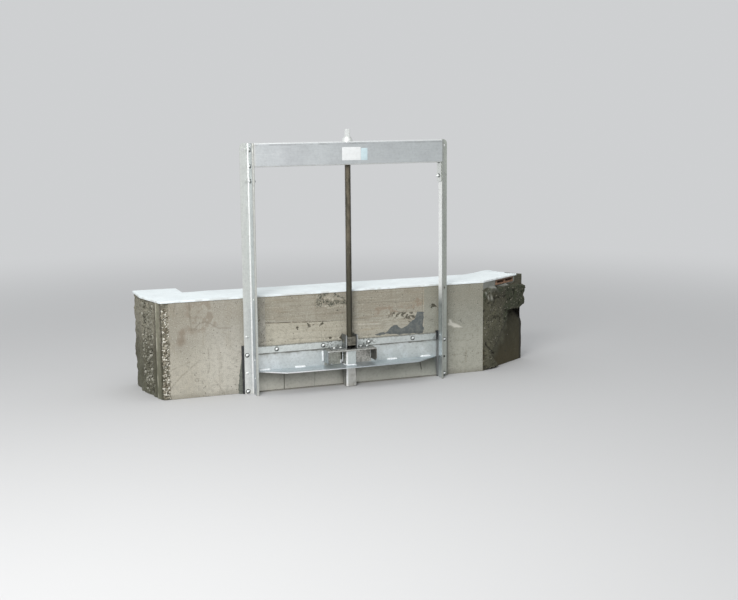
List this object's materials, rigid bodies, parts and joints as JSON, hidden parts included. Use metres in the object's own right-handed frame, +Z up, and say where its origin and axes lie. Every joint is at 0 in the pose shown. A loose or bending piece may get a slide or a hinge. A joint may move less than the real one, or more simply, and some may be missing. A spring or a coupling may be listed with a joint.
{
  "type": "sluice gate",
  "caption": "Wall-mounted stainless sluice gate with a non-rising screw, square drive end and bowed leaf rib, on its concrete headwall.",
  "frame": {"origin": "underside of the sill plate at the wall face, in the middle of the gate, at the water's level", "axes": "+X along the wall to the viewer's right, +Y into the wall, +Z up"},
  "size_m": [2.3499, 0.587, 1.4213],
  "materials": {
    "concrete": "board-marked cast concrete",
    "old_concrete": "weathered, broken concrete",
    "mortar": "trowelled pale mortar",
    "brick": "broken fired clay",
    "stainless": "pickled stainless plate",
    "bolt_steel": "dull stainless",
    "turned_steel": "turned",
    "screw_steel": "greased and silted",
    "bronze": "silted bronze",
    "guide_plastic": "black slide plastic",
    "seal_rubber": "matt black rubber",
    "label_film": "bare label film"
  },
  "bodies": {
    "frame_and_wall": {"headwall_left": "concrete", "headwall_right": "concrete", "headwall_lintel": "concrete", "return_wall_left": "old_concrete", "wing_wall_right": "old_concrete", "wing_rubble": "old_concrete", "hollow_brick": "brick", "wall_cap": "mortar", "guide_left": "guide_plastic", "guide_right": "guide_plastic", "sill_plate": "stainless", "post_left": "stainless", "post_right": "stainless", "anchors_left": "bolt_steel", "anchors_right": "bolt_steel", "yoke_channel": "stainless", "yoke_leg_left": "stainless", "yoke_leg_right": "stainless", "yoke_bolts_left": "bolt_steel", "yoke_bolts_right": "bolt_steel", "yoke_stiffeners": "stainless", "bearing_housing": "turned_steel"},
    "leaf": {"leaf_plate": "stainless", "clamp_bar": "stainless", "clamp_bolts": "bolt_steel", "top_seal": "seal_rubber", "bottom_seal": "seal_rubber", "bow_rib": "stainless", "column_upper": "stainless", "column_lower": "stainless", "nut_shelf": "stainless", "gusset_left": "stainless", "gusset_right": "stainless", "cheek_left": "stainless", "cheek_right": "stainless", "bracket_bolts": "bolt_steel", "stem_nut": "bronze"},
    "screw": {"stem_rod": "screw_steel", "lower_collar": "turned_steel", "upper_collar": "turned_steel", "drive_square": "turned_steel"}
  },
  "joints": [
    {"name": "screw_turn", "type": "hinge", "parent": "frame_and_wall", "child": "screw", "pos_m": [0, -0.043, 1.356], "axis": [0, 0, 1], "range_deg": [0, 54000]},
    {"name": "leaf_lift", "type": "slide", "parent": "frame_and_wall", "child": "leaf", "axis": [0, 0, 1], "range_m": [0, 0.9]}
  ],
  "couplings": [
    {"joint": "leaf_lift", "follows": "screw_turn", "m_per_rad": 0.00095493}
  ]
}
